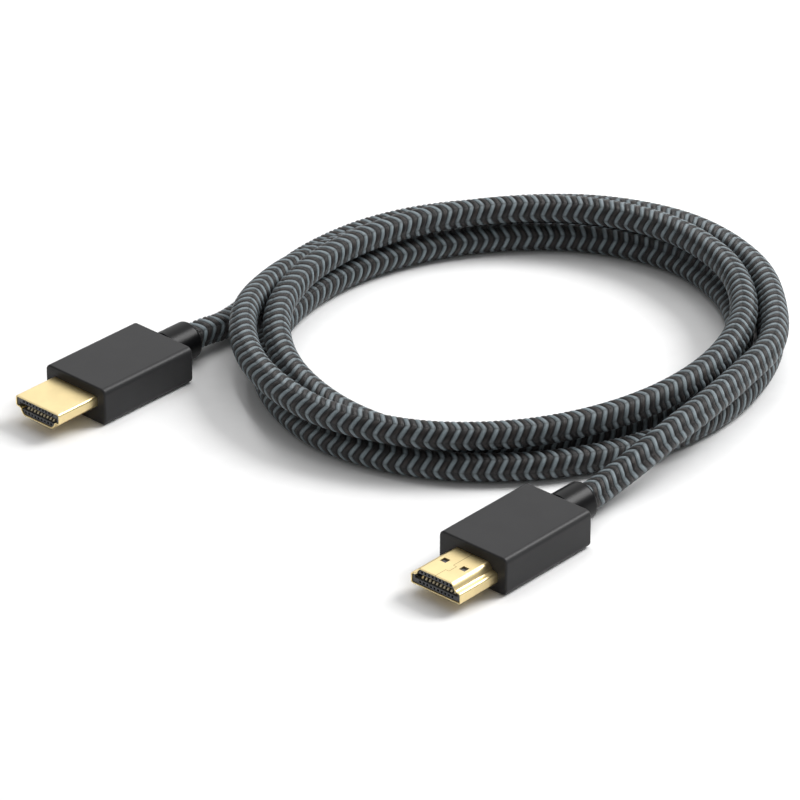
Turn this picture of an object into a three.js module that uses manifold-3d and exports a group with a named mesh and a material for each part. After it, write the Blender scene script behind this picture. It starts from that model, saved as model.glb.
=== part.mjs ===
// A digital video cable, lying coiled on a level surface with its two plugs beside the coil.
// Units are millimetres. +Z is up, and z = 0 is the surface that the cable lies on.
// The origin lies on that surface, below the middle of the box around the two plugs.

import * as THREE from 'three';
import { mergeVertices } from 'three/addons/utils/BufferGeometryUtils.js';
import Module from 'manifold-3d';

const wasm = await Module();
wasm.setup();

// Housing: a moulded box with rounded long edges.
const HOUSING_LENGTH = 27.5;
const HOUSING_WIDTH = 18.8;
const HOUSING_HEIGHT = 9.0;
const HOUSING_CORNER = 1.4;
const HOUSING_EDGE = 0.35;

// Shell: the plated metal tube that goes into the socket.
const SHELL_WIDTH = 13.9;
const SHELL_HEIGHT = 4.45;
const SHELL_NARROW_WIDTH = 8.9;
const SHELL_SIDE_HEIGHT = 2.7;
const SHELL_WALL = 0.35;
const SHELL_CORNER = 0.6;
const SHELL_LENGTH = 11.7;
const SHELL_SEAT_DEPTH = 4.0;

// Latch windows: two square holes through the shell's narrow side.
const LATCH_SIZE = 1.6;
const LATCH_SPACING = 5.3;
const LATCH_FROM_TIP = 6.0;

// Insulator: the moulded block inside the shell, with the mouth for the socket's tongue.
const INSULATOR_RECESS = 0.25;
const MOUTH_HEIGHT = 1.5;
const MOUTH_WIDTH = 11.9;
const MOUTH_DEPTH = 9.0;
const LIP_DEPTH = 0.6;
const KEYHOLE_SIZE = 0.55;
const KEYHOLE_DEPTH = 1.1;
const GROOVE_DEPTH = 0.4;

// Contacts: one row of ten on the wide side, one row of nine between them on the narrow side.
const WIDE_ROW_COUNT = 10;
const CONTACT_PITCH = 1.0;
const CONTACT_WIDTH = 0.5;
const CONTACT_THICKNESS = 0.3;
const CONTACT_BOW = 1.1;
const CONTACT_TIP = 0.5;
const CONTACT_LENGTH = 6.4;

// Collar: the short round strain relief behind the housing.
const COLLAR_DIAMETER = 8.9;
const COLLAR_LENGTH = 8.6;
const COLLAR_RIM = 1.4;
const COLLAR_SOCKET_DEPTH = 1.6;
const SPIGOT_DIAMETER = 6.8;
const SPIGOT_LENGTH = 2.4;

// Cable.
const CABLE_DIAMETER = 6.3;
const CABLE_SIDES = 10;
const CABLE_STEPS = 84;
const TURN_CLEARANCE = 0.6;
const FLOOR_CLEARANCE = 0.1;

// Clearance between pieces that seat in or on each other.
const SEAT_GAP = 0.2;
const CONTACT_GAP = 0.1;
const CUT_MARGIN = 1.0;

// Where the middle of each housing's front face stands, and the heading from plug to cable.
const PLUG_A = { x: -50.7, y: 28.5, heading: 47.3, wideSideUp: true };
const PLUG_B = { x: 36.6, y: -44.4, heading: 48.0, wideSideUp: false };

// Coil: slightly oval, longest from near left to far right.
const COIL_CENTRE = { x: 45.9, y: 54.8 };
const COIL_RADIUS = 55.6;
const COIL_OVAL = 3.0;
const COIL_OVAL_HEADING = 45;
const STATIONS_PER_TURN = 8;
const STEPS_PER_STATION = 2;

// The coil's stations, an eighth of a turn apart, clockwise from the far side.
// Each holds a lane, in cable pitches outside the coil's radius, and a layer above the surface.
const COIL_STATIONS = [
  [1.55, 0], [0.96, 0], [0.58, 0], [0.41, 0], [0.1, 0], [0.12, 0], [-0.2, 0], [-0.32, 0],
  [-0.41, 0], [-0.14, 0], [-0.48, 0], [-0.61, 0], [-1.0, 0], [-0.84, 0.47], [-0.48, 0.97], [-0.34, 1.03],
  [-0.4, 1.07], [-0.4, 1.25], [-0.34, 1.22], [-0.26, 1.14], [-0.35, 0.93], [0.32, 1.0], [0.6, 1.05], [0.5, 0.52],
  [0.54, 0.6], [0.6, 0.97], [0.68, 1.01],
];

// The tail from plug A's collar, under the coil's left side, to the start of the coil.
const TAIL_A = [
  [-19.5, 62.2, 3.8], [-14.5, 69.8, 3.4], [-10.6, 78.7, 3.25], [-5.9, 88.4, 3.25],
  [0.7, 98.5, 3.25], [13.5, 110.8, 3.25], [28.9, 118.4, 3.25],
];

// The tail from the end of the coil, over its near right side, down to plug B's collar.
const TAIL_B = [
  [104.0, 40.6, 10.1], [97.0, 27.4, 10.1], [89.2, 14.8, 10.0], [81.5, 4.6, 9.3],
  [74.6, -3.4, 7.6], [68.6, -9.1, 5.6],
];
const TAIL_STRAIGHT = 4.0;

const halfHeight = HOUSING_HEIGHT / 2;
const shellBase = halfHeight - SHELL_HEIGHT / 2;
const cableRadius = CABLE_DIAMETER / 2;
const cablePitch = CABLE_DIAMETER + TURN_CLEARANCE;

const blackMoulding = new THREE.MeshStandardMaterial({ color: 0x2b2b2c, roughness: 0.55, metalness: 0 });
const blackRubber = new THREE.MeshStandardMaterial({ color: 0x1c1c1d, roughness: 0.5, metalness: 0 });
const plating = new THREE.MeshStandardMaterial({ color: 0xe8cf8c, roughness: 0.28, metalness: 1 });
const greyMoulding = new THREE.MeshStandardMaterial({ color: 0x4a4b50, roughness: 0.5, metalness: 0 });
const braid = new THREE.MeshStandardMaterial({ color: 0x3d474d, roughness: 0.85, metalness: 0 });

// A closed solid from a geometry, with its shared vertices merged.
function solidFrom(geometry) {
  const bare = geometry.clone();
  bare.deleteAttribute('normal');
  bare.deleteAttribute('uv');
  const merged = mergeVertices(bare, 1e-4);
  return new wasm.Manifold(new wasm.Mesh({
    numProp: 3,
    vertProperties: new Float32Array(merged.attributes.position.array),
    triVerts: new Uint32Array(merged.index.array),
  }));
}

function geometryFrom(solid) {
  const mesh = solid.getMesh();
  const geometry = new THREE.BufferGeometry();
  geometry.setAttribute('position', new THREE.BufferAttribute(new Float32Array(mesh.vertProperties), 3));
  geometry.setIndex(new THREE.BufferAttribute(new Uint32Array(mesh.triVerts), 1));
  geometry.computeVertexNormals();
  return geometry;
}

function cut(geometry, cutters) {
  const left = cutters.reduce((solid, cutter) => solid.subtract(solidFrom(cutter)), solidFrom(geometry));
  return geometryFrom(left);
}

// A section is drawn in (across, up) and carried along the plug's axis, from start to end.
// Along the axis 0 is the housing's front face, the tip is negative and the cable positive.
function alongAxis(shape, start, end, edge = 0) {
  const geometry = new THREE.ExtrudeGeometry(shape, {
    depth: end - start - 2 * edge,
    curveSegments: 5,
    bevelEnabled: edge > 0,
    bevelThickness: edge,
    bevelSize: edge,
    bevelOffset: -edge,
    bevelSegments: 2,
  });
  geometry.translate(0, 0, start + edge);
  geometry.rotateX(Math.PI / 2);
  geometry.rotateZ(Math.PI / 2);
  return geometry;
}

function boxAlongAxis(start, end, across, width, base, height) {
  const geometry = new THREE.BoxGeometry(end - start, width, height);
  geometry.translate((start + end) / 2, across, base + height / 2);
  return geometry;
}

function roundedRectangle(width, height, radius) {
  const shape = new THREE.Shape();
  const half = width / 2;
  shape.moveTo(-half + radius, 0);
  shape.lineTo(half - radius, 0);
  shape.absarc(half - radius, radius, radius, -Math.PI / 2, 0, false);
  shape.absarc(half - radius, height - radius, radius, 0, Math.PI / 2, false);
  shape.absarc(-half + radius, height - radius, radius, Math.PI / 2, Math.PI, false);
  shape.absarc(-half + radius, radius, radius, Math.PI, 1.5 * Math.PI, false);
  return shape;
}

// The plug's section: straight low sides, rounded shoulders and a narrower top side.
function plugOutline() {
  const half = SHELL_WIDTH / 2;
  const narrow = SHELL_NARROW_WIDTH / 2;
  const bend = SHELL_CORNER;
  const slope = (half - bend - narrow) / 2;
  const right = new THREE.Path();
  right.moveTo(0, 0);
  right.lineTo(half - bend, 0);
  right.absarc(half - bend, bend, bend, -Math.PI / 2, 0, false);
  right.lineTo(half, SHELL_SIDE_HEIGHT - bend);
  right.absarc(half - bend, SHELL_SIDE_HEIGHT - bend, bend, 0, Math.PI / 2, false);
  right.quadraticCurveTo(half - bend - slope, SHELL_SIDE_HEIGHT, narrow + slope, SHELL_SIDE_HEIGHT + bend);
  right.quadraticCurveTo(narrow + bend / 2, SHELL_HEIGHT, narrow - bend / 2, SHELL_HEIGHT);
  right.lineTo(0, SHELL_HEIGHT);
  const points = right.getPoints(5);
  const mirrored = points.slice(1, -1).reverse().map((p) => new THREE.Vector2(-p.x, p.y));
  return points.concat(mirrored);
}

// The outline moved outwards by a distance, or inwards where the distance is negative.
function offsetOutline(points, distance) {
  const count = points.length;
  return points.map((point, i) => {
    const before = point.clone().sub(points[(i + count - 1) % count]).normalize();
    const after = points[(i + 1) % count].clone().sub(point).normalize();
    const normal = new THREE.Vector2(before.y + after.y, -before.x - after.x).normalize();
    const reach = distance / Math.max(0.5, normal.x * after.y - normal.y * after.x);
    return point.clone().addScaledVector(normal, reach);
  });
}

function shapeAt(points, base) {
  return new THREE.Shape(points.map((p) => new THREE.Vector2(p.x, p.y + base)));
}

const outline = plugOutline();

function housingGeometry() {
  const body = roundedRectangle(HOUSING_WIDTH, HOUSING_HEIGHT, HOUSING_CORNER);
  const pocket = shapeAt(offsetOutline(outline, SEAT_GAP), shellBase);
  const socket = new THREE.CylinderGeometry(
    SPIGOT_DIAMETER / 2 + SEAT_GAP, SPIGOT_DIAMETER / 2 + SEAT_GAP, SPIGOT_LENGTH + SEAT_GAP + CUT_MARGIN, 32,
  );
  socket.rotateZ(Math.PI / 2);
  socket.translate(HOUSING_LENGTH - (SPIGOT_LENGTH + SEAT_GAP - CUT_MARGIN) / 2, 0, halfHeight);
  return cut(alongAxis(body, 0, HOUSING_LENGTH, HOUSING_EDGE), [
    alongAxis(pocket, -CUT_MARGIN, SHELL_SEAT_DEPTH + SEAT_GAP),
    socket,
  ]);
}

function shellGeometry() {
  const tube = shapeAt(outline, shellBase);
  tube.holes.push(new THREE.Path(shapeAt(offsetOutline(outline, -SHELL_WALL), shellBase).getPoints()));
  const start = LATCH_FROM_TIP - SHELL_LENGTH - LATCH_SIZE / 2;
  const top = shellBase + SHELL_HEIGHT;
  const windows = [-1, 1].map((side) => boxAlongAxis(
    start, start + LATCH_SIZE, side * LATCH_SPACING / 2, LATCH_SIZE,
    top - SHELL_WALL - SEAT_GAP / 2, SHELL_WALL + CUT_MARGIN,
  ));
  return cut(alongAxis(tube, -SHELL_LENGTH, SHELL_SEAT_DEPTH), windows);
}

// Contact rows: side -1 is the wide side's row, side 1 the narrow side's row.
function contactPlaces() {
  const places = [];
  for (const [side, count] of [[-1, WIDE_ROW_COUNT], [1, WIDE_ROW_COUNT - 1]]) {
    for (let i = 0; i < count; i += 1) {
      places.push({ side, across: (i - (count - 1) / 2) * CONTACT_PITCH });
    }
  }
  return places;
}

const insulatorFront = -SHELL_LENGTH + INSULATOR_RECESS;
const grooveStart = insulatorFront + LIP_DEPTH;
const grooveEnd = grooveStart + CONTACT_LENGTH + 2 * CONTACT_GAP;

function insulatorGeometry() {
  const block = shapeAt(offsetOutline(outline, -SHELL_WALL - CONTACT_GAP), shellBase);
  const band = (SHELL_HEIGHT / 2 - SHELL_WALL - CONTACT_GAP + MOUTH_HEIGHT / 2) / 2;
  const mouth = boxAlongAxis(
    insulatorFront - CUT_MARGIN, insulatorFront + MOUTH_DEPTH, 0, MOUTH_WIDTH,
    halfHeight - MOUTH_HEIGHT / 2, MOUTH_HEIGHT,
  );
  const grooves = contactPlaces().map(({ side, across }) => boxAlongAxis(
    grooveStart, grooveEnd, across, CONTACT_WIDTH + 2 * CONTACT_GAP,
    halfHeight + side * (MOUTH_HEIGHT / 2) - GROOVE_DEPTH, 2 * GROOVE_DEPTH,
  ));
  const keyholes = contactPlaces().map(({ side, across }) => boxAlongAxis(
    insulatorFront - CUT_MARGIN, insulatorFront + KEYHOLE_DEPTH, across, KEYHOLE_SIZE,
    halfHeight + side * band - KEYHOLE_SIZE / 2, KEYHOLE_SIZE,
  ));
  return cut(alongAxis(block, insulatorFront, SHELL_SEAT_DEPTH), [mouth, ...grooves, ...keyholes]);
}

// A contact is a flat spring, bowed out of its groove towards the mouth, and steepest at its tip.
function contactGeometry({ side, across }) {
  const start = grooveStart + CONTACT_GAP;
  const seat = MOUTH_HEIGHT / 2 + GROOVE_DEPTH - CONTACT_GAP;
  const face = seat - CONTACT_THICKNESS;
  const bowFace = face - CONTACT_BOW;
  const profile = new THREE.Shape();
  profile.moveTo(start, side * seat);
  profile.lineTo(start, side * face);
  profile.quadraticCurveTo(start + CONTACT_TIP, side * bowFace, start + CONTACT_LENGTH / 2, side * face);
  profile.lineTo(start + CONTACT_LENGTH, side * face);
  profile.lineTo(start + CONTACT_LENGTH, side * seat);
  const geometry = new THREE.ExtrudeGeometry(profile, {
    depth: CONTACT_WIDTH, curveSegments: 4, bevelEnabled: false,
  });
  geometry.rotateX(Math.PI / 2);
  geometry.translate(0, across + CONTACT_WIDTH / 2, halfHeight);
  return geometry;
}

// The collar's half section turned about its axis: spigot, barrel, rounded rim and cable socket.
function collarGeometry() {
  const radius = COLLAR_DIAMETER / 2;
  const bore = cableRadius + SEAT_GAP;
  const rim = Math.min(COLLAR_RIM, radius - bore);
  const half = new THREE.Path();
  half.moveTo(0, -SPIGOT_LENGTH);
  half.lineTo(SPIGOT_DIAMETER / 2, -SPIGOT_LENGTH);
  half.lineTo(SPIGOT_DIAMETER / 2, SEAT_GAP);
  half.lineTo(radius, SEAT_GAP);
  half.lineTo(radius, COLLAR_LENGTH - rim);
  half.absarc(radius - rim, COLLAR_LENGTH - rim, rim, 0, Math.PI / 2, false);
  half.lineTo(bore, COLLAR_LENGTH);
  half.lineTo(bore, COLLAR_LENGTH - COLLAR_SOCKET_DEPTH);
  half.lineTo(0, COLLAR_LENGTH - COLLAR_SOCKET_DEPTH);
  const geometry = new THREE.LatheGeometry(half.getPoints(6), 32);
  geometry.rotateZ(-Math.PI / 2);
  geometry.translate(HOUSING_LENGTH, 0, halfHeight);
  return geometry;
}

function addMesh(group, name, geometry, material) {
  const mesh = new THREE.Mesh(geometry, material);
  mesh.name = name;
  group.add(mesh);
  return mesh;
}

// The plug lies with its wide side up or down, turned about its own axis.
function buildPlug(prefix, place) {
  const turned = new THREE.Group();
  if (place.wideSideUp) {
    turned.rotation.x = Math.PI;
    turned.position.z = HOUSING_HEIGHT;
  }
  addMesh(turned, `${prefix}_housing`, housingGeometry(), blackMoulding);
  addMesh(turned, `${prefix}_collar`, collarGeometry(), blackRubber);
  addMesh(turned, `${prefix}_shell`, shellGeometry(), plating);
  addMesh(turned, `${prefix}_insulator`, insulatorGeometry(), greyMoulding);
  contactPlaces().forEach((contact, i) => {
    const number = String(i + 1).padStart(2, '0');
    addMesh(turned, `${prefix}_contact_${number}`, contactGeometry(contact), plating);
  });
  const plug = new THREE.Group();
  plug.position.set(place.x, place.y, 0);
  plug.rotation.z = THREE.MathUtils.degToRad(place.heading);
  plug.add(turned);
  return plug;
}

// A point on the plug's axis, at a distance from the housing's front face.
function axisPoint(place, distance) {
  const heading = THREE.MathUtils.degToRad(place.heading);
  return new THREE.Vector3(
    place.x + distance * Math.cos(heading),
    place.y + distance * Math.sin(heading),
    halfHeight,
  );
}

// The coil's points run clockwise from the far side, through the lanes and layers of its stations.
function coilPoints() {
  const lanes = new THREE.SplineCurve(COIL_STATIONS.map(([lane, layer]) => new THREE.Vector2(lane, layer)));
  const last = COIL_STATIONS.length - 1;
  const longWay = THREE.MathUtils.degToRad(COIL_OVAL_HEADING);
  const points = [];
  for (let step = 0; step <= last * STEPS_PER_STATION; step += 1) {
    const station = step / STEPS_PER_STATION;
    const heading = Math.PI / 2 - (2 * Math.PI * station) / STATIONS_PER_TURN;
    const { x: lane, y: layer } = lanes.getPoint(station / last);
    const radius = COIL_RADIUS + lane * cablePitch + COIL_OVAL * Math.cos(2 * (heading - longWay));
    points.push(new THREE.Vector3(
      COIL_CENTRE.x + radius * Math.cos(heading),
      COIL_CENTRE.y + radius * Math.sin(heading),
      cableRadius + FLOOR_CLEARANCE + Math.max(0, layer) * cablePitch,
    ));
  }
  return points;
}

function cableRoute() {
  const end = HOUSING_LENGTH + COLLAR_LENGTH - COLLAR_SOCKET_DEPTH + SEAT_GAP;
  const straight = HOUSING_LENGTH + COLLAR_LENGTH + TAIL_STRAIGHT;
  return new THREE.CatmullRomCurve3([
    axisPoint(PLUG_A, end),
    axisPoint(PLUG_A, straight),
    ...TAIL_A.map((p) => new THREE.Vector3(...p)),
    ...coilPoints(),
    ...TAIL_B.map((p) => new THREE.Vector3(...p)),
    axisPoint(PLUG_B, straight),
    axisPoint(PLUG_B, end),
  ], false, 'centripetal');
}

function cableGeometry() {
  const section = new THREE.Shape();
  for (let i = 0; i < CABLE_SIDES; i += 1) {
    const angle = (2 * Math.PI * i) / CABLE_SIDES;
    const point = [cableRadius * Math.cos(angle), cableRadius * Math.sin(angle)];
    if (i === 0) section.moveTo(...point);
    else section.lineTo(...point);
  }
  return new THREE.ExtrudeGeometry(section, { steps: CABLE_STEPS, extrudePath: cableRoute(), bevelEnabled: false });
}

const cable = new THREE.Group();
cable.add(buildPlug('plug_a', PLUG_A));
cable.add(buildPlug('plug_b', PLUG_B));
addMesh(cable, 'cable', cableGeometry(), braid);

export default cable;
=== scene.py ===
"""A coiled, braided digital video cable with its two plugs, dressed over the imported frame.

Lengths are in metres in the scene. The sizes below are in millimetres, and are turned into metres
where a surface is put into the scene.
"""

import logging
import math
from dataclasses import dataclass, field
from enum import Enum

import bpy
import numpy as np
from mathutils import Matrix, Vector

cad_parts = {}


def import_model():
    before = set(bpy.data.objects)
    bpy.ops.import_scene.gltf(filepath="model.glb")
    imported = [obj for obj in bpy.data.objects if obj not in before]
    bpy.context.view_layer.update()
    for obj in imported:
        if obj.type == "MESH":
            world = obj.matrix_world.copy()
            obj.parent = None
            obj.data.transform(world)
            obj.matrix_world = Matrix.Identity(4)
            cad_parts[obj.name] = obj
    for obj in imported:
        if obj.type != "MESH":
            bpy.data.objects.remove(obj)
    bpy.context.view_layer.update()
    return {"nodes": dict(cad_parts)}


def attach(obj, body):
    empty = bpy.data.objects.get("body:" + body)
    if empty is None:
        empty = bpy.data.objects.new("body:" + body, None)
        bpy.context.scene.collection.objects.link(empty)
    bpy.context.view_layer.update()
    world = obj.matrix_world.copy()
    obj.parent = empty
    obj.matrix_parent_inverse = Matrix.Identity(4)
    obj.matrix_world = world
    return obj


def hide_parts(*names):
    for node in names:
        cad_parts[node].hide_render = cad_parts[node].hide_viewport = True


log = logging.getLogger("video_cable")

MM = 0.001
BODY = "root"


# ---------------------------------------------------------------------------------------------
# Shader writing


class Wire:
    """One shader output. Python's operators on it add Math nodes."""

    def __init__(self, shader: "Shader", socket: bpy.types.NodeSocket) -> None:
        """Keeps the shader that the output belongs to, and the output's socket."""
        self.shader = shader
        self.socket = socket

    def __add__(self, other: "Wire | float") -> "Wire":
        """This plus other."""
        return self.shader.math("ADD", self, other)

    def __radd__(self, other: float) -> "Wire":
        """Other plus this."""
        return self.shader.math("ADD", other, self)

    def __sub__(self, other: "Wire | float") -> "Wire":
        """This less other."""
        return self.shader.math("SUBTRACT", self, other)

    def __rsub__(self, other: float) -> "Wire":
        """Other less this."""
        return self.shader.math("SUBTRACT", other, self)

    def __mul__(self, other: "Wire | float") -> "Wire":
        """This times other."""
        return self.shader.math("MULTIPLY", self, other)

    def __rmul__(self, other: float) -> "Wire":
        """Other times this."""
        return self.shader.math("MULTIPLY", other, self)

    def __pow__(self, other: "Wire | float") -> "Wire":
        """This to the power of other."""
        return self.shader.math("POWER", self, other)


class Shader:
    """A material under construction: adds nodes, and links their sockets."""

    def __init__(self, name: str) -> None:
        """Starts an empty node material of that name."""
        self.material = bpy.data.materials.new(name)
        self.material.use_nodes = True
        self.tree = self.material.node_tree
        self.tree.nodes.clear()

    def add(self, kind: str, settings: dict | None = None, sockets: dict | None = None) -> bpy.types.Node:
        """Adds one node.

        Args:
            kind: the node's type.
            settings: the node's own properties, set before its sockets.
            sockets: values or wires by the socket's name or number.

        Returns:
            The node.
        """
        node = self.tree.nodes.new(kind)
        for key, value in (settings or {}).items():
            setattr(node, key, value)
        for key, value in (sockets or {}).items():
            if isinstance(value, Wire):
                self.tree.links.new(value.socket, node.inputs[key])
            else:
                node.inputs[key].default_value = value
        return node

    def wire(self, node: bpy.types.Node, output: int | str = 0) -> Wire:
        """One output of a node, as a wire."""
        return Wire(self, node.outputs[output])

    def math(self, operation: str, *values: Wire | float, clamp: bool = False) -> Wire:
        """A Math node on up to three values."""
        sockets = dict(enumerate(values))
        return self.wire(self.add("ShaderNodeMath", {"operation": operation, "use_clamp": clamp}, sockets))

    def mix(self, factor: Wire | float, first: object, second: object) -> Wire:
        """A colour between first and second, by factor."""
        node = self.add("ShaderNodeMix", {"data_type": "RGBA"}, {0: factor, 6: first, 7: second})
        return self.wire(node, 2)

    def smooth(self, value: Wire, low: float, high: float) -> Wire:
        """0 below low, 1 above high, and a smooth step between them."""
        sockets = {0: value, 1: low, 2: high, 3: 0.0, 4: 1.0}
        return self.wire(self.add("ShaderNodeMapRange", {"interpolation_type": "SMOOTHSTEP"}, sockets))

    def place(self) -> Wire:
        """The place on the piece, in metres in the row's frame."""
        return self.wire(self.add("ShaderNodeTexCoord"), "Object")

    def pattern(self, layer: str) -> tuple[Wire, Wire, Wire]:
        """The piece's own pattern coordinates.

        Args:
            layer: the name of the piece's UV map.

        Returns:
            The whole vector, and its first and second parts.
        """
        vector = self.wire(self.add("ShaderNodeUVMap", {"uv_map": layer}))
        parts = self.add("ShaderNodeSeparateXYZ", None, {0: vector})
        return vector, self.wire(parts, 0), self.wire(parts, 1)

    def noise(self, vector: Wire, scale: float, detail: float = 2.0, roughness: float = 0.5) -> Wire:
        """Soft noise from about 0 to 1, with that many cells to the vector's unit."""
        sockets = {"Vector": vector, "Scale": scale, "Detail": detail, "Roughness": roughness}
        return self.wire(self.add("ShaderNodeTexNoise", None, sockets))

    def bump(self, height: Wire, distance: float, strength: float = 1.0) -> Wire:
        """A normal from a height, where a height of 1 stands that many metres proud."""
        sockets = {"Height": height, "Distance": distance, "Strength": strength}
        return self.wire(self.add("ShaderNodeBump", None, sockets))

    def finish(self, **sockets: object) -> bpy.types.Material:
        """Closes the material with a Principled shader.

        Args:
            sockets: its values or wires, with spaces in the names written as underscores.

        Returns:
            The material.
        """
        named = {key.replace("_", " "): value for key, value in sockets.items()}
        shader = self.wire(self.add("ShaderNodeBsdfPrincipled", None, named))
        self.add("ShaderNodeOutputMaterial", None, {0: shader})
        return self.material


# ---------------------------------------------------------------------------------------------
# Finishes


@dataclass(frozen=True)
class MouldedFinish:
    """A moulded plastic or rubber: one tone with faint clouds, and a fine pebbled grain."""

    name: str
    tone: tuple[float, float, float]
    roughness: float
    grain: float = 0.16
    grain_depth: float = 0.006
    clouds: float = 0.10
    gloss: float = 0.4

    def material(self) -> bpy.types.Material:
        """Noise at the grain's size makes the bump, and noise at 6 mm the clouds."""
        shader = Shader(self.name)
        place = shader.place()
        grain = shader.noise(place, 1.0 / (self.grain * MM), 3.0, 0.6)
        clouds = shader.noise(place, 1.0 / (6.0 * MM), 2.0)
        dark = tuple(c * (1.0 - self.clouds) for c in self.tone)
        light = tuple(c * (1.0 + self.clouds) for c in self.tone)
        colour = shader.mix(shader.smooth(clouds, 0.3, 0.7), (*dark, 1.0), (*light, 1.0))
        return shader.finish(
            Base_Color=colour,
            Roughness=self.roughness + (grain - 0.5) * 0.12,
            Specular_IOR_Level=self.gloss,
            Normal=shader.bump(grain, self.grain_depth * MM),
        )


@dataclass(frozen=True)
class PlatingFinish:
    """Gold plating: a warm metal with faint rolling marks along the sheet."""

    name: str
    tone: tuple[float, float, float]
    roughness: float
    seam: bool = False
    seam_width: float = 0.1
    key_start: float = 3.2
    key_end: float = 5.6
    key_reach: float = 0.9

    def material(self) -> bpy.types.Material:
        """Fine noise varies the roughness. The shell's seam is a dark line on its narrow side."""
        shader = Shader(self.name)
        place = shader.place()
        marks = shader.noise(place, 1.0 / (0.5 * MM), 4.0, 0.6)
        cloud = shader.noise(place, 1.0 / (4.0 * MM), 2.0)
        dark = tuple(c * 0.93 for c in self.tone)
        colour = shader.mix(shader.smooth(cloud, 0.3, 0.7), (*dark, 1.0), (*self.tone, 1.0))
        height = marks * 0.3
        if self.seam:
            line = self._seam_line(shader)
            colour = shader.mix(line * 0.8, colour, (0.30, 0.22, 0.10, 1.0))
            height = height - line * 2.0
        return shader.finish(
            Base_Color=colour,
            Metallic=1.0,
            Roughness=self.roughness + (marks - 0.5) * 0.1,
            Normal=shader.bump(height, 0.004 * MM),
        )

    def _seam_line(self, shader: Shader) -> Wire:
        """The seam as a mask: straight along the axis, with one square key to the side.

        The pattern's first part is the distance from the tip, and its second the distance round
        the shell from the middle of the narrow side, both in millimetres.
        """
        _, along, across = shader.pattern("Sheet")
        past_start = shader.math("GREATER_THAN", along, self.key_start)
        inside = past_start * shader.math("LESS_THAN", along, self.key_end)
        straight = self._near(shader, across - inside * self.key_reach, self.seam_width)
        ends = self._near(shader, along - self.key_start, self.seam_width)
        ends = shader.math("MAXIMUM", ends, self._near(shader, along - self.key_end, self.seam_width))
        span = shader.math("GREATER_THAN", across, 0.0) * shader.math("LESS_THAN", across, self.key_reach)
        return shader.math("MAXIMUM", straight, ends * span)

    @staticmethod
    def _near(shader: Shader, distance: Wire, width: float) -> Wire:
        """1 where the distance is within half the width, fading to 0 at the width."""
        return 1.0 - shader.smooth(shader.math("ABSOLUTE", distance), width / 2, width)


@dataclass(frozen=True)
class BraidFinish:
    """A braided sleeve of two yarns that lie in chevrons.

    The pattern's first part counts pairs of yarns along the cable, and follows the chevrons. Its
    second counts the columns round the cable.
    """

    name: str
    light: tuple[float, float, float]
    dark: tuple[float, float, float]
    brown: tuple[float, float, float]
    roughness: float
    filaments: int = 9
    fuzz_size: float = 0.22
    rib_power: float = 0.6
    crown_power: float = 0.45
    depth: float = 0.34
    # Painted shade: a near-black colour for the valleys between the ribs and the columns' edges.
    gap_shade: tuple[float, float, float] = (0.006, 0.007, 0.008)

    def material(self) -> bpy.types.Material:
        """Sine waves along the pattern give the two tones, the rounded ribs and the filaments.

        The crown is a sine wave round the cable, which dips at the columns' edges. Drift is noise
        some yarns wide, and fuzz is noise finer than a yarn. The colour is painted with a near-black
        shade in the valleys between the ribs and where the crown dips.
        """
        shader = Shader(self.name)
        vector, along, round_ = shader.pattern("Braid")
        wave = shader.math("SINE", along * (2 * math.pi))
        rib = shader.math("ABSOLUTE", wave) ** self.rib_power
        crown = shader.math("ABSOLUTE", shader.math("SINE", round_ * math.pi)) ** self.crown_power
        drift = shader.noise(vector, 1.4, 3.0, 0.6)
        fuzz = shader.noise(shader.place(), 1.0 / (self.fuzz_size * MM), 3.0, 0.65)
        threads = shader.math("SINE", along * (4 * math.pi * self.filaments) + drift * 9.0)
        light_yarn = shader.smooth(wave + (fuzz - 0.5) * 0.5, -0.2, 0.06)
        light = shader.mix(
            shader.smooth(drift, 0.3, 0.7), (*self.light, 1.0), (*(c * 1.35 for c in self.light), 1.0)
        )
        dark = shader.mix(shader.smooth(drift, 0.35, 0.65), (*self.dark, 1.0), (*self.brown, 1.0))
        yarn = shader.mix(light_yarn, dark, light)
        # Painted shade: the colour falls to the gap shade in the valleys between the ribs, and further where
        # the crown dips at the columns' edges.
        shade_mask = shader.smooth(rib * (0.5 + crown * 0.5), 0.12, 1.0)
        shaded = shader.mix(shade_mask, (*self.gap_shade, 1.0), yarn)
        # Painted shade and painted highlight: the colour is darkened between the filaments and kept bright
        # along them.
        lit = shader.smooth(threads + (fuzz - 0.5) * 2.5, -1.4, 1.6)
        filament_shading = shader.mix(lit, (0.55, 0.55, 0.55, 1.0), (1.0, 1.0, 1.0, 1.0))
        colour = self._multiply(shader, shaded, filament_shading)
        height = rib * (0.6 + crown * 0.4) + threads * 0.05 + (fuzz - 0.5) * 0.16
        return shader.finish(
            Base_Color=colour,
            Roughness=self.roughness + (fuzz - 0.5) * 0.2,
            Specular_IOR_Level=0.45,
            Sheen_Weight=0.06,
            Sheen_Roughness=0.4,
            Normal=shader.bump(height, self.depth * MM),
        )

    @staticmethod
    def _multiply(shader: Shader, first: Wire, second: Wire) -> Wire:
        """One colour times another."""
        settings = {"data_type": "RGBA", "blend_type": "MULTIPLY"}
        return shader.wire(shader.add("ShaderNodeMix", settings, {0: 1.0, 6: first, 7: second}), 2)


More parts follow.
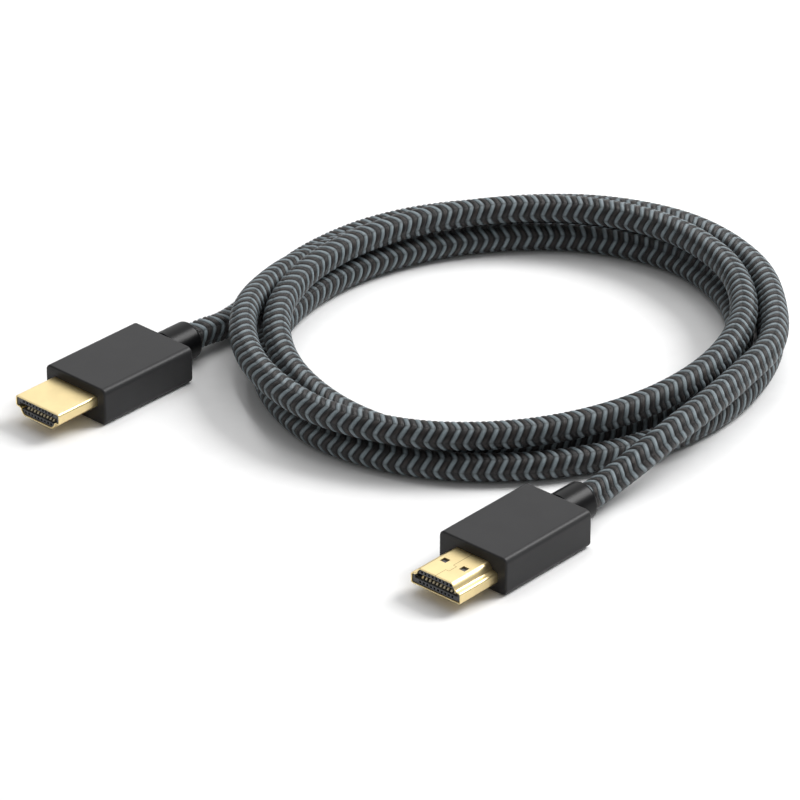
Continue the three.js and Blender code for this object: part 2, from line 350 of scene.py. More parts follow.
HOUSING_FINISH = MouldedFinish("housing_moulding", (0.028, 0.028, 0.029), 0.38, clouds=0.04, gloss=0.16)
COLLAR_FINISH = MouldedFinish(
    "collar_rubber", (0.004, 0.004, 0.0045), 0.32, grain=0.1, grain_depth=0.003, gloss=0.15
)
INSULATOR_FINISH = MouldedFinish(
    "insulator_moulding", (0.085, 0.087, 0.094), 0.5, grain=0.06, grain_depth=0.002
)
SHELL_FINISH = PlatingFinish("shell_plating", (0.90, 0.73, 0.39), 0.36, seam=True)
CONTACT_FINISH = PlatingFinish("contact_plating", (0.98, 0.86, 0.60), 0.38)
BRAID_FINISH = BraidFinish(
    "braided_sleeve", (0.220, 0.268, 0.292), (0.011, 0.011, 0.012), (0.036, 0.028, 0.025), 0.45
)
FLOOR_FINISH = MouldedFinish("pale_floor", (0.86, 0.86, 0.86), 0.9, grain=2.0, grain_depth=0.0, clouds=0.01)


# ---------------------------------------------------------------------------------------------
# Surfaces


@dataclass
class Surface:
    """A closed surface of quads, in millimetres, with a place on its pattern for each corner."""

    points: np.ndarray
    quads: np.ndarray
    pattern: np.ndarray | None = None
    layer: str = "Pattern"

    def outward(self) -> "Surface":
        """The same surface with its faces outwards: they are turned if the volume is negative.

        The volume is a sixth of the sum of a . (b x c) over the triangles a, b, c of all quads.
        """
        a, b, c, d = (self.points[self.quads[:, k]] for k in range(4))
        volume = np.sum(a * np.cross(b, c)) + np.sum(a * np.cross(c, d))
        if volume < 0:
            self.quads = self.quads[:, ::-1]
            if self.pattern is not None:
                self.pattern = self.pattern[:, ::-1]
        return self


def grid_quads(rows: int, columns: int, closed_rows: bool = False) -> np.ndarray:
    """The quads of a grid whose columns close on themselves.

    Args:
        rows: the number of rings.
        columns: the number of points on each ring.
        closed_rows: whether the last ring joins the first.

    Returns:
        The four point numbers of each quad, ring by ring.
    """
    row = np.arange(rows if closed_rows else rows - 1)[:, None]
    column = np.arange(columns)[None, :]
    after = (row + 1) % rows
    beside = (column + 1) % columns
    here, there = row * columns, after * columns
    quads = (here + column, here + beside, there + beside, there + column)
    return np.stack(np.broadcast_arrays(*quads), axis=-1).reshape(-1, 4)


def capped(rings: np.ndarray) -> Surface:
    """A surface through rings of points, whose first and last rings close in a point.

    Args:
        rings: an array of rings, points and coordinates.

    Returns:
        The surface. Each end has a middle point, and its fan's triangles are quads with a doubled
        corner, which the mesh drops.
    """
    count, columns, _ = rings.shape
    points = np.concatenate([rings.reshape(-1, 3), rings[0].mean(0)[None], rings[-1].mean(0)[None]])
    column = np.arange(columns)
    beside = (column + 1) % columns
    last = (count - 1) * columns
    middle = np.full(columns, count * columns)
    start = np.stack([middle, middle, beside, column], -1)
    end = np.stack([last + column, last + beside, middle + 1, middle + 1], -1)
    return Surface(points, np.concatenate([grid_quads(count, columns), start, end]))


def put_piece(
    name: str,
    surface: Surface,
    material: bpy.types.Material,
    replaces: str,
    crease: float = 35.0,
    weighted: bool = True,
) -> bpy.types.Object:
    """Makes a piece from a surface, in place of a CAD node.

    Args:
        name: the piece's name.
        surface: its surface in the row's frame, in millimetres.
        material: its finish.
        replaces: the CAD node that it stands for.
        crease: edges that turn by more than this many degrees stay sharp.
        weighted: whether large faces outweigh small ones in the shading.

    Returns:
        The piece.
    """
    surface = surface.outward()
    quads = surface.quads
    double = (quads == np.roll(quads, -1, axis=1)).any(axis=1)
    corners = np.where(double, 3, 4)
    keep = np.ones(quads.shape, bool)
    keep[double] = quads[double] != np.roll(quads[double], -1, axis=1)
    mesh = bpy.data.meshes.new(name)
    mesh.vertices.add(len(surface.points))
    mesh.vertices.foreach_set("co", (surface.points * MM).astype(np.float32).ravel())
    mesh.loops.add(int(corners.sum()))
    mesh.loops.foreach_set("vertex_index", quads[keep].astype(np.int32))
    mesh.polygons.add(len(quads))
    mesh.polygons.foreach_set("loop_start", (np.cumsum(corners) - corners).astype(np.int32))
    if surface.pattern is not None:
        layer = mesh.uv_layers.new(name=surface.layer)
        layer.data.foreach_set("uv", surface.pattern[keep].astype(np.float32).ravel())
    mesh.update(calc_edges=True)
    mesh.validate()
    mesh.shade_smooth()
    mesh.set_sharp_from_angle(angle=math.radians(crease))
    mesh.materials.append(material)
    piece = bpy.data.objects.new(name, mesh)
    bpy.context.scene.collection.objects.link(piece)
    if weighted:
        piece.modifiers.new("shading", "WEIGHTED_NORMAL").keep_sharp = True
    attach(piece, BODY)
    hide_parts(replaces)
    log.info("%s: %d faces, for %s", name, len(mesh.polygons), replaces)
    return piece


# ---------------------------------------------------------------------------------------------
# Outlines


def arc(x: float, y: float, radius: float, start: float, end: float, count: int) -> np.ndarray:
    """Points on an arc about (x, y), from the start angle to the end angle in degrees."""
    angle = np.radians(np.linspace(start, end, count))
    return np.stack([x + radius * np.cos(angle), y + radius * np.sin(angle)], -1)


def bow(first: tuple, control: tuple, last: tuple, count: int) -> np.ndarray:
    """Points on the quadratic curve (1-t)^2 first + 2t(1-t) control + t^2 last, without the first."""
    t = np.linspace(0.0, 1.0, count + 1)[1:, None]
    return (1 - t) ** 2 * np.array(first) + 2 * t * (1 - t) * np.array(control) + t**2 * np.array(last)


def rounded_box(width: float, height: float, radius: float, middle: float, inset: float = 0.0) -> np.ndarray:
    """The corners' points of a rounded rectangle about (0, middle), in from its size by the inset."""
    half, up = width / 2 - inset, height / 2 - inset
    r = max(radius - inset, 0.02)
    turn = [(half - r, r - up, -90), (half - r, up - r, 0), (r - half, up - r, 90), (r - half, r - up, 180)]
    return np.concatenate([arc(x, middle + y, r, a, a + 90, 11) for x, y, a in turn])


def offset(outline: np.ndarray, distance: float) -> np.ndarray:
    """The closed outline moved outwards by a distance.

    Each point moves along the mean of the normals of the two edges beside it, far enough that
    both edges move by the distance.
    """
    before = outline - np.roll(outline, 1, axis=0)
    after = np.roll(before, -1, axis=0)
    before = before / np.linalg.norm(before, axis=1, keepdims=True)
    after = after / np.linalg.norm(after, axis=1, keepdims=True)
    normal = np.stack([before[:, 1] + after[:, 1], -before[:, 0] - after[:, 0]], -1)
    normal /= np.linalg.norm(normal, axis=1, keepdims=True)
    reach = distance / np.maximum(0.5, normal[:, 0] * after[:, 1] - normal[:, 1] * after[:, 0])
    return outline + normal * reach[:, None]


def reach_of(outline: np.ndarray, middle: float, angles: np.ndarray) -> np.ndarray:
    """Where rays from (0, middle) at the given angles meet the closed outline.

    Each ray is cut with the edge whose ends lie on both sides of it: the distance along the ray is
    cross(start, edge) / cross(ray, edge).
    """
    local = outline - (0.0, middle)
    local = local[np.argsort(np.arctan2(local[:, 1], local[:, 0]))]
    ends = np.arctan2(local[:, 1], local[:, 0])
    index = np.searchsorted(ends, angles, side="right") % len(ends)
    last, first = local[index], local[index - 1]
    edge = last - first
    ray = np.stack([np.cos(angles), np.sin(angles)], -1)
    start_by_edge = first[:, 0] * edge[:, 1] - first[:, 1] * edge[:, 0]
    ray_by_edge = ray[:, 0] * edge[:, 1] - ray[:, 1] * edge[:, 0]
    return ray * (start_by_edge / ray_by_edge)[:, None] + (0.0, middle)


# ---------------------------------------------------------------------------------------------
# Plugs


class Lie(Enum):
    """The side that a plug turns up."""

    WIDE_SIDE_UP = "wide"
    NARROW_SIDE_UP = "narrow"


@dataclass(frozen=True)
class PlugPlace:
    """Where the middle of a housing's front face stands, and the heading from plug to cable."""

    x: float
    y: float
    heading: float
    lie: Lie

    def to_row(self, local: np.ndarray, height: float) -> np.ndarray:
        """Carries points from the plug's own frame to the row's.

        Args:
            local: points along the axis, across it and up.
            height: the housing's height, about which the plug is turned over.

        Returns:
            The points, turned over if the wide side is up, turned to the heading and moved.
        """
        turned = local * (1, -1, -1) + (0, 0, height) if self.lie is Lie.WIDE_SIDE_UP else local
        c, s = math.cos(math.radians(self.heading)), math.sin(math.radians(self.heading))
        return turned @ np.array([[c, s, 0], [-s, c, 0], [0, 0, 1]]) + (self.x, self.y, 0)

    def axis_point(self, distance: float, height: float) -> np.ndarray:
        """The point on the plug's axis at a distance from the housing's front face."""
        return self.to_row(np.array([[distance, 0.0, height / 2]]), height)[0]


@dataclass(frozen=True)
class PlugSizes:
    """The sizes that the plug's pieces share, as in the part's source."""

    housing_length: float = 27.5
    housing_width: float = 18.8
    housing_height: float = 9.0
    housing_corner: float = 1.4
    housing_edge: float = 0.4
    shell_width: float = 13.9
    shell_height: float = 4.45
    shell_narrow_width: float = 8.9
    shell_side_height: float = 2.7
    shell_wall: float = 0.35
    shell_corner: float = 0.6
    shell_length: float = 11.7
    shell_seat: float = 4.0
    shell_lip: float = 0.12
    latch_size: float = 1.6
    latch_spacing: float = 5.3
    latch_from_tip: float = 6.0
    collar_diameter: float = 8.9
    collar_length: float = 8.6
    collar_socket: float = 1.6
    spigot_diameter: float = 6.8
    spigot_length: float = 2.4
    seat_gap: float = 0.2
    pocket_gap: float = 0.06
    contacts: int = 19

    @property
    def middle(self) -> float:
        """Half the housing's height, where the plug's axis lies."""
        return self.housing_height / 2

    def outline(self) -> np.ndarray:
        """The shell's section: low sides, rounded shoulders and a narrower top.

        The right half runs from the middle of the wide side to the middle of the narrow side, and
        the left half is its mirror image. The narrow side has points at the latch windows' edges.
        """
        half, bend, top = self.shell_width / 2, self.shell_corner, self.shell_height
        narrow, side = self.shell_narrow_width / 2, self.shell_side_height
        slope = (half - bend - narrow) / 2
        near = (self.latch_spacing - self.latch_size) / 2
        far = near + self.latch_size
        edge = narrow - bend / 2
        right = np.concatenate(
            [
                [[0.0, 0.0], [half / 2, 0.0]],
                arc(half - bend, bend, bend, -90, 0, 9),
                arc(half - bend, side - bend, bend, 0, 90, 9),
                bow((half - bend, side), (half - bend - slope, side), (narrow + slope, side + bend), 6),
                bow((narrow + slope, side + bend), (narrow + bend / 2, top), (edge, top), 8),
                [[far, top], [near, top], [0.0, top]],
            ]
        )
        left = right[1:-1][::-1] * (-1, 1)
        return np.concatenate([right, left]) + (0, self.middle - self.shell_height / 2)


def ring(outline: np.ndarray, along: float) -> np.ndarray:
    """An outline of (across, up) points, put at a distance along the plug's axis."""
    return np.column_stack([np.full(len(outline), along), outline])


@dataclass
class PlugHousing:
    """The moulded box: rounded long edges, a pocket for the shell and a socket for the collar."""

    sizes: PlugSizes
    side_points: int = 5

    def angles(self) -> np.ndarray:
        """The rays that all rings share: through each corner point of the box and of the shell."""
        s = self.sizes
        box = rounded_box(s.housing_width, s.housing_height, s.housing_corner, s.middle)
        both = np.concatenate([box, offset(s.outline(), s.pocket_gap)]) - (0, s.middle)
        angle = np.sort(np.arctan2(both[:, 1], both[:, 0]))
        return angle[np.concatenate([[True], np.diff(angle) > 1e-3])]

    def surface(self) -> Surface:
        """Rings from the pocket's floor, over the front, along the sides and into the socket.

        Each ring is an outline cut by the same rays about the axis. The front and rear edges are
        quarter circles: the inset falls as edge (1 - sin a) while the ring moves by edge (1 - cos a).
        """
        s = self.sizes
        angles = self.angles()
        pocket = reach_of(offset(s.outline(), s.pocket_gap), s.middle, angles)
        radius = s.spigot_diameter / 2 + s.seat_gap
        socket = np.stack([radius * np.cos(angles), s.middle + radius * np.sin(angles)], -1)
        turn = np.radians(np.linspace(0, 90, 7))
        rings = [ring(pocket, s.shell_seat + s.seat_gap), ring(pocket, 0.0)]
        edge, length = s.housing_edge, s.housing_length
        edges = [(edge * (1 - math.sin(a)), edge * (1 - math.cos(a))) for a in turn]
        front = [ring(self._box(angles, inset), along) for inset, along in edges]
        stops = np.linspace(edge, length - edge, self.side_points)[1:-1]
        sides = [ring(self._box(angles, 0.0), along) for along in stops]
        rear = [ring(self._box(angles, inset), length - along) for inset, along in edges[::-1]]
        rings += front + sides + rear
        rings += [ring(socket, length), ring(socket, length - s.spigot_length - s.seat_gap)]
        return capped(np.array(rings))

    def _box(self, angles: np.ndarray, inset: float) -> np.ndarray:
        """The box's section, in by the inset, cut by the rays."""
        s = self.sizes
        outline = rounded_box(s.housing_width, s.housing_height, s.housing_corner, s.middle, inset)
        return reach_of(outline, s.middle, angles)


@dataclass
class PlugShell:
    """The plated tube, with a rolled lip and two latch windows in its narrow side."""

    sizes: PlugSizes

    def profile(self) -> np.ndarray:
        """The wall's section as (distance along the axis, offset inwards), from seat to lip and back.

        The lip's two edges are quarter circles of the lip's radius.
        """
        s = self.sizes
        window = s.latch_from_tip - s.shell_length
        stops = [s.shell_seat, 0.0, window + s.latch_size / 2, window - s.latch_size / 2]
        tip, r, wall = -s.shell_length, s.shell_lip, s.shell_wall
        outer = [(x, 0.0) for x in stops]
        roll = arc(tip + r, r, r, -90, -180, 6)
        inner_roll = arc(tip + r, wall - r, r, 180, 90, 6)
        inner = [(x, wall) for x in stops[::-1]]
        return np.concatenate([outer, roll, inner_roll, inner])

    def surface(self) -> Surface:
        """Rings of the outline at each step of the profile, joined in a loop.

        A window is one cell of the grid left out of both walls, with four faces round it that join
        the walls.
        """
        s = self.sizes
        outline = s.outline()
        profile = self.profile()
        rings = np.array([ring(offset(outline, -inward), along) for along, inward in profile])
        rows, columns = rings.shape[:2]
        quads = grid_quads(rows, columns, closed_rows=True)
        length = np.linalg.norm(np.roll(outline, -1, axis=0) - outline, axis=1)
        walk = np.concatenate([[0.0], np.cumsum(length)])
        walk -= walk[np.argmax((np.abs(outline[:, 0]) < 1e-9) & (outline[:, 1] > s.middle))]
        row = np.repeat(np.arange(rows), columns)
        column = np.tile(np.arange(columns), rows)
        along = profile[:, 0] + s.shell_length
        corner_rows = np.stack([row, row, (row + 1) % rows, (row + 1) % rows], -1)
        corner_columns = np.stack([column, column + 1, column + 1, column], -1)
        pattern = np.stack([along[corner_rows], walk[corner_columns]], -1)
        hidden, reveals = self._windows(outline, rows, columns)
        quads, pattern = quads[~hidden], pattern[~hidden]
        blank = np.full((len(reveals), 4, 2), 50.0)
        return Surface(
            rings.reshape(-1, 3), np.concatenate([quads, reveals]), np.concatenate([pattern, blank]), "Sheet"
        )

    def _windows(self, outline: np.ndarray, rows: int, columns: int) -> tuple[np.ndarray, np.ndarray]:
        """The cells that the windows leave out, and the faces round them.

        Args:
            outline: the shell's section.
            rows: the number of rings.
            columns: the number of points on each ring.

        Returns:
            A mask over the grid's quads, and the quads round the windows.
        """
        s = self.sizes
        outer, inner = (2, 3), (rows - 4, rows - 3)
        middle = (outline + np.roll(outline, -1, axis=0)) / 2
        on_top = middle[:, 1] > s.middle + s.shell_height / 2 - 0.01
        at_window = np.abs(np.abs(middle[:, 0]) - s.latch_spacing / 2) < s.latch_size / 4
        cells = np.flatnonzero(on_top & at_window)
        hidden = np.zeros(rows * columns, bool)
        hidden[outer[0] * columns + cells] = True
        hidden[inner[0] * columns + cells] = True
        a, b = cells, (cells + 1) % columns
        near, far = outer[0] * columns, outer[1] * columns
        far_in, near_in = inner[0] * columns, inner[1] * columns
        reveals = np.concatenate(
            [
                np.stack([near + b, near + a, near_in + a, near_in + b], -1),
                np.stack([far + a, far + b, far_in + b, far_in + a], -1),
                np.stack([near + a, far + a, far_in + a, near_in + a], -1),
                np.stack([far + b, near + b, near_in + b, far_in + b], -1),
            ]
        )
        return hidden, reveals[:, ::-1]


@dataclass
class PlugCollar:
    """The round strain relief: a spigot in the housing, a barrel, a rounded rim and a socket."""

    sizes: PlugSizes
    cable_diameter: float
    rim: float = 1.2
    columns: int = 72

    def surface(self) -> Surface:
        """A half section of (distance, radius) turned about the axis.

        The rim is a quarter circle whose radius is what the wall leaves beside the cable.
        """
        s = self.sizes
        radius, bore = s.collar_diameter / 2, self.cable_diameter / 2 + s.seat_gap
        rim = min(self.rim, radius - bore)
        half = np.concatenate(
            [
                [(-s.spigot_length, s.spigot_diameter / 2), (s.seat_gap, s.spigot_diameter / 2)],
                arc(s.seat_gap + 0.15, radius - 0.15, 0.15, 180, 90, 4),
                arc(s.collar_length - rim, radius - rim, rim, 90, 0, 9),
                [(s.collar_length, bore), (s.collar_length - s.collar_socket, bore)],
            ]
        )
        turn = 2 * math.pi * np.arange(self.columns) / self.columns
        rings = np.stack(
            np.broadcast_arrays(
                s.housing_length + half[:, :1],
                half[:, 1:] * np.cos(turn),
                s.middle + half[:, 1:] * np.sin(turn),
            ),
            -1,
        )
        return capped(rings)


@dataclass
class Plug:
    """One plug: its own housing, shell and collar, and the CAD's insulator and contacts."""

    prefix: str
    place: PlugPlace
    cable_diameter: float
    sizes: PlugSizes = field(default_factory=PlugSizes)

    def build(self, nodes: dict[str, bpy.types.Object]) -> None:
        """Makes the plug's new pieces and dresses the rest.

        Args:
            nodes: the CAD objects by name.
        """
        collar = PlugCollar(self.sizes, self.cable_diameter)
        self._put("housing", PlugHousing(self.sizes).surface(), HOUSING_FINISH, 30.0)
        self._put("shell", PlugShell(self.sizes).surface(), SHELL_FINISH, 40.0)
        self._put("collar", collar.surface(), COLLAR_FINISH, 40.0)
        self._dress(nodes)

    def _put(self, part: str, surface: Surface, finish: object, crease: float) -> None:
        """Puts one surface into the row's frame, as the piece that stands for its CAD node."""
        surface.points = self.place.to_row(surface.points, self.sizes.housing_height)
        node = f"{self.prefix}_{part}"
        put_piece(f"{node}_dressed", surface, made(finish), node, crease)

    def _dress(self, nodes: dict[str, bpy.types.Object]) -> None:
        """Gives the insulator and the contacts their finishes."""
        dress(nodes[f"{self.prefix}_insulator"], made(INSULATOR_FINISH))
        for number in range(1, self.sizes.contacts + 1):
            dress(nodes[f"{self.prefix}_contact_{number:02d}"], made(CONTACT_FINISH))


def made(finish: MouldedFinish | PlatingFinish | BraidFinish) -> bpy.types.Material:
    """The finish's material, made on its first use."""
    return bpy.data.materials.get(finish.name) or finish.material()


def dress(node: bpy.types.Object, material: bpy.types.Material) -> None:
    """Gives a CAD object a finish in each of its material slots."""
    for slot in node.material_slots:
        slot.material = material
    log.info("%s: dressed in %s", node.name, material.name)


# ---------------------------------------------------------------------------------------------
# Cable


def spline(rows: np.ndarray, place: np.ndarray) -> np.ndarray:
    """The uniform Catmull-Rom curve through rows of numbers.

    Args:
        rows: the rows that it passes through.
        place: where to read it, in rows from the first.

    Returns:
        One row for each place. Past the ends, the end rows stand in for their neighbours.
    """
    last = len(rows) - 1
    whole = np.minimum(np.floor(place).astype(int), last - 1)
    t = (place - whole)[:, None]
    p0, p1 = rows[np.maximum(whole - 1, 0)], rows[whole]
    p2, p3 = rows[whole + 1], rows[np.minimum(whole + 2, last)]
    v0, v1 = (p2 - p0) / 2, (p3 - p1) / 2
    return (2 * p1 - 2 * p2 + v0 + v1) * t**3 + (3 * p2 - 3 * p1 - 2 * v0 - v1) * t**2 + v0 * t + p1


def centripetal(points: np.ndarray, samples: int) -> np.ndarray:
    """The centripetal Catmull-Rom curve through points, whose knots are the chords' square roots.

    Args:
        points: the points that it passes through.
        samples: the number of samples between two points.

    Returns:
        The samples and the last point. Beyond each end a mirrored point stands in.
    """
    p = np.vstack([2 * points[0] - points[1], points, 2 * points[-1] - points[-2]])
    p0, p1, p2, p3 = p[:-3], p[1:-2], p[2:-1], p[3:]
    pairs = ((p0, p1), (p1, p2), (p2, p3))
    d0, d1, d2 = (np.sqrt(np.linalg.norm(b - a, axis=1, keepdims=True)) for a, b in pairs)
    t1 = ((p1 - p0) / d0 - (p2 - p0) / (d0 + d1) + (p2 - p1) / d1) * d1
    t2 = ((p2 - p1) / d1 - (p3 - p1) / (d1 + d2) + (p3 - p2) / d2) * d1
    u = (np.arange(samples) / samples)[None, :, None]
    c0, c1, c2, c3 = (
        c[:, None]
        for c in (p1, t1, 3 * (p2 - p1) - 2 * t1 - t2, 2 * (p1 - p2) + t1 + t2)
    )
    curve = c0 + c1 * u + c2 * u**2 + c3 * u**3
    return np.vstack([curve.reshape(-1, 3), points[-1]])


@dataclass(frozen=True)
class CableRoute:
    """The cable's middle line, with the same points as the part's source."""

    plug_a: PlugPlace
    plug_b: PlugPlace
    sizes: PlugSizes
    diameter: float = 6.3
    turn_clearance: float = 0.6
    floor_clearance: float = 0.1
    coil_x: float = 45.9
    coil_y: float = 54.8
    coil_radius: float = 55.6
    coil_oval: float = 3.0
    coil_oval_heading: float = 45.0
    stations_per_turn: int = 8
    steps_per_station: int = 2
    tail_straight: float = 4.0
    stations: tuple = (
        (1.55, 0), (0.96, 0), (0.58, 0), (0.41, 0), (0.1, 0), (0.12, 0), (-0.2, 0),
        (-0.32, 0), (-0.41, 0), (-0.14, 0), (-0.48, 0), (-0.61, 0), (-1.0, 0), (-0.84, 0.47),
        (-0.48, 0.97), (-0.34, 1.03), (-0.4, 1.07), (-0.4, 1.25), (-0.34, 1.22), (-0.26, 1.14),
        (-0.35, 0.93), (0.32, 1.0), (0.6, 1.05), (0.5, 0.52), (0.54, 0.6), (0.6, 0.97), (0.68, 1.01),
    )  # fmt: skip
    tail_a: tuple = (
        (-19.5, 62.2, 3.8), (-14.5, 69.8, 3.4), (-10.6, 78.7, 3.25), (-5.9, 88.4, 3.25),
        (0.7, 98.5, 3.25), (13.5, 110.8, 3.25), (28.9, 118.4, 3.25),
    )  # fmt: skip
    tail_b: tuple = (
        (104.0, 40.6, 10.1), (97.0, 27.4, 10.1), (89.2, 14.8, 10.0), (81.5, 4.6, 9.3),
        (74.6, -3.4, 7.6), (68.6, -9.1, 5.6),
    )  # fmt: skip

    def coil(self) -> np.ndarray:
        """The coil's points, clockwise from the far side.

        A station holds a lane, in cable pitches outside the coil's radius, and a layer above the
        floor. The radius swells by the oval's size along the oval's heading.
        """
        pitch = self.diameter + self.turn_clearance
        last = len(self.stations) - 1
        station = np.arange(last * self.steps_per_station + 1) / self.steps_per_station
        lane, layer = spline(np.array(self.stations, float), station).T
        heading = math.pi / 2 - 2 * math.pi * station / self.stations_per_turn
        oval = self.coil_oval * np.cos(2 * (heading - math.radians(self.coil_oval_heading)))
        radius = self.coil_radius + lane * pitch + oval
        height = self.diameter / 2 + self.floor_clearance + np.maximum(layer, 0) * pitch
        return np.column_stack(
            [self.coil_x + radius * np.cos(heading), self.coil_y + radius * np.sin(heading), height]
        )

    def centreline(self, step: float) -> np.ndarray:
        """The whole middle line from collar to collar.

        Args:
            step: the distance between its points.

        Returns:
            Points about a step apart along the curve, the ends included.
        """
        s = self.sizes
        end = s.housing_length + s.collar_length - s.collar_socket + s.seat_gap
        straight = s.housing_length + s.collar_length + self.tail_straight
        points = np.vstack(
            [
                self.plug_a.axis_point(end, s.housing_height),
                self.plug_a.axis_point(straight, s.housing_height),
                self.tail_a,
                self.coil(),
                self.tail_b,
                self.plug_b.axis_point(straight, s.housing_height),
                self.plug_b.axis_point(end, s.housing_height),
            ]
        )
        curve = centripetal(points, 60)
        walk = np.concatenate([[0.0], np.cumsum(np.linalg.norm(np.diff(curve, axis=0), axis=1))])
        even = np.linspace(0.0, walk[-1], int(round(walk[-1] / step)) + 1)
        return np.column_stack([np.interp(even, walk, curve[:, k]) for k in range(3)])


@dataclass
class BraidedCable:
    """The cable: a tube whose mesh follows the yarns of its braided sleeve."""

    route: CableRoute
    pair_pitch: float = 2.7
    rows_per_pair: int = 6
    columns: int = 6
    cells_per_column: int = 5
    rise: float = 1.35
    sharpness: float = 0.95
    relief: float = 0.26
    proud: float = 0.08
    roll: float = -22.0
    settle: float = 3.0

    def surface(self) -> Surface:
        """A tube round the middle line, whose rows are pushed along it in a rounded zigzag.

        The zigzag is the arcsine of a cosine: the nearer the sharpness is to 1, the sharper its
        turns.

        Along the cable the radius follows a rib over each yarn, and round it a crown over each
        column. The ribs stand a little proud of the cable's radius, and the gaps lie inside it. A
        point's distance along the cable is its row's, plus the zigzag, which fades out where the
        cable enters its collars. Its direction is turned by its column's angle from up.
        """
        line = self.route.centreline(1.0)
        walk = np.concatenate([[0.0], np.cumsum(np.linalg.norm(np.diff(line, axis=0), axis=1))])
        length = walk[-1]
        step = self.pair_pitch / self.rows_per_pair
        rows = int(length / step)
        sides = self.columns * self.cells_per_column
        column = np.arange(sides)
        wave = np.arcsin(self.sharpness * np.cos(math.pi * column / self.cells_per_column))
        zigzag = -0.5 * self.rise * wave / math.asin(self.sharpness)
        row_place = np.linspace(0.0, length, rows + 1)[:, None]
        fade = np.clip(np.minimum(row_place, length - row_place) / self.settle, 0.0, 1.0)
        place = row_place + zigzag * fade
        middle = np.stack([np.interp(place, walk, line[:, k]) for k in range(3)], -1)
        heading = np.stack([np.interp(place, walk, c) for c in np.gradient(line, walk, axis=0).T], -1)
        heading /= np.linalg.norm(heading, axis=-1, keepdims=True)
        up = np.array([0.0, 0.0, 1.0]) - heading * heading[..., 2:]
        up /= np.linalg.norm(up, axis=-1, keepdims=True)
        aside = np.cross(heading, up)
        angle = 2 * math.pi * column / sides + math.radians(self.roll) + self._twist(place)
        rib = np.abs(np.sin(2 * math.pi * np.arange(rows + 1) / self.rows_per_pair))[:, None] ** 0.7
        crown = 1.0 - 0.4 * (column % self.cells_per_column == 0)
        radius = self.route.diameter / 2 + self.proud - self.relief * (1.0 - rib * crown)
        turn = np.cos(angle)[..., None] * up + np.sin(angle)[..., None] * aside
        rings = middle + radius[..., None] * turn
        surface = capped(rings)
        surface.layer = "Braid"
        surface.pattern = self._pattern(rows + 1, sides, len(surface.quads))
        return surface

    @staticmethod
    def _twist(place: np.ndarray) -> np.ndarray:
        """A slow twist of the sleeve along the cable, in radians: two long sine waves."""
        return 0.32 * np.sin(place / 61.0) + 0.2 * np.sin(place / 23.0 + 1.0)

    def _pattern(self, rows: int, sides: int, count: int) -> np.ndarray:
        """The place on the sleeve's pattern of each quad's corners, in pairs of yarns and columns."""
        row = np.repeat(np.arange(rows - 1), sides)
        side = np.tile(np.arange(sides), rows - 1)
        along = np.stack([row, row, row + 1, row + 1], -1) / self.rows_per_pair
        round_ = np.stack([side, side + 1, side + 1, side], -1) / self.cells_per_column
        pattern = np.zeros((count, 4, 2))
        pattern[: len(row)] = np.stack([along, round_], -1)
        return pattern

    def build(self) -> None:
        finish = made(BRAID_FINISH)
        piece = put_piece("cable_braided", self.surface(), finish, "cable", 180.0, weighted=False)
        line = self.route.centreline(2.0) * MM


# ---------------------------------------------------------------------------------------------
# Studio


@dataclass(frozen=True)
class PhotoCamera:
    """The camera at the photograph's place: looking along +Y, and down by its elevation."""

    target: tuple[float, float, float] = (21.4, 34.3, 0.0)
    distance: float = 1122.0
    elevation: float = 28.99
    view_angle: float = 9.12

    def build(self) -> None:
        """Adds the camera and makes it the scene's own."""
        data = bpy.data.cameras.new("photo_camera")
        data.sensor_width = 36.0
        data.lens = data.sensor_width / 2 / math.tan(math.radians(self.view_angle) / 2)
        data.clip_start, data.clip_end = 0.05, 20.0
        camera = bpy.data.objects.new("photo_camera", data)
        tilt = math.radians(self.elevation)
        back = Vector((0.0, -math.cos(tilt), math.sin(tilt)))
        camera.location = Vector(self.target) * MM + back * self.distance * MM
        camera.rotation_mode = "QUATERNION"
        camera.rotation_quaternion = (-back).to_track_quat("-Z", "Y")
        bpy.context.scene.collection.objects.link(camera)
        bpy.context.scene.camera = camera
        log.info("camera: %.0f mm away, %.2f degrees up", self.distance, self.elevation)


@dataclass(frozen=True)
class Softbox:
    """A square area light, aimed at the middle of the coil."""

    name: str
    place: tuple[float, float, float]
    size: float
    power: float

    def build(self, aim: Vector) -> None:
        """Adds the light.

        Args:
            aim: the point that it faces.
        """
        data = bpy.data.lights.new(self.name, "AREA")
        data.shape = "SQUARE"
        data.size = self.size
        data.energy = self.power
        light = bpy.data.objects.new(self.name, data)
        light.location = self.place
        light.rotation_mode = "QUATERNION"
        light.rotation_quaternion = (aim - Vector(self.place)).to_track_quat("-Z", "Y")
        bpy.context.scene.collection.objects.link(light)


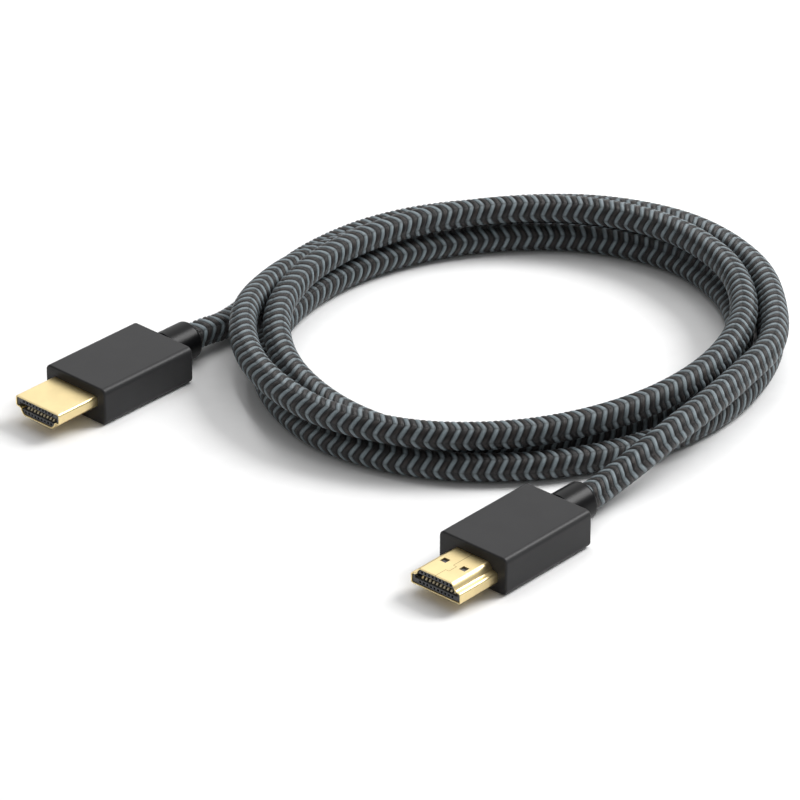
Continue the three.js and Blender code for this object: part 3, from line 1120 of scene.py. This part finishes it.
@dataclass
class Studio:
    """A pale floor, an even sky and softboxes."""

    floor_size: float = 6.0
    floor_drop: float = 0.0001
    sky: float = 0.3
    softboxes: tuple[Softbox, ...] = (
        Softbox("top_softbox", (0.1, 0.35, 1.2), 0.9, 6.5),
        Softbox("right_softbox", (0.95, 0.42, 0.95), 0.65, 19.0),
        Softbox("back_softbox", (0.0, 1.5, 0.85), 1.2, 4.2),
    )

    def build(self) -> None:
        """Adds the floor, the sky's even light and the softboxes."""
        half, low = self.floor_size / 2, -self.floor_drop
        floor_corners = [(-half, -half, low), (half, -half, low), (half, half, low), (-half, half, low)]
        mesh = bpy.data.meshes.new("floor")
        mesh.from_pydata(floor_corners, [], [(0, 1, 2, 3)])
        mesh.materials.append(made(FLOOR_FINISH))
        floor = bpy.data.objects.new("floor", mesh)
        bpy.context.scene.collection.objects.link(floor)
        world = bpy.data.worlds.new("even_sky")
        world.use_nodes = True
        background = world.node_tree.nodes["Background"]
        background.inputs[0].default_value = (1.0, 1.0, 1.0, 1.0)
        background.inputs[1].default_value = self.sky
        bpy.context.scene.world = world
        bpy.context.scene.view_settings.view_transform = "Standard"
        for softbox in self.softboxes:
            softbox.build(Vector((0.02, 0.03, 0.0)))
        log.info("studio: floor, sky and %d softboxes", len(self.softboxes))


def corners(box: tuple[Vector, Vector]) -> list[list[float]]:
    """A box's two corners as plain lists."""
    return [list(map(float, corner)) for corner in box]


def main() -> None:
    """Builds the scene in order."""
    logging.basicConfig(level=logging.INFO, format="%(name)s: %(message)s")
    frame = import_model()
    PhotoCamera().build()
    plug_a = PlugPlace(-50.7, 28.5, 47.3, Lie.WIDE_SIDE_UP)
    plug_b = PlugPlace(36.6, -44.4, 48.0, Lie.NARROW_SIDE_UP)
    route = CableRoute(plug_a, plug_b, PlugSizes())
    BraidedCable(route).build()
    Plug("plug_a", plug_a, route.diameter).build(frame["nodes"])
    Plug("plug_b", plug_b, route.diameter).build(frame["nodes"])
    Studio().build()


if __name__ == "__main__":
    main()
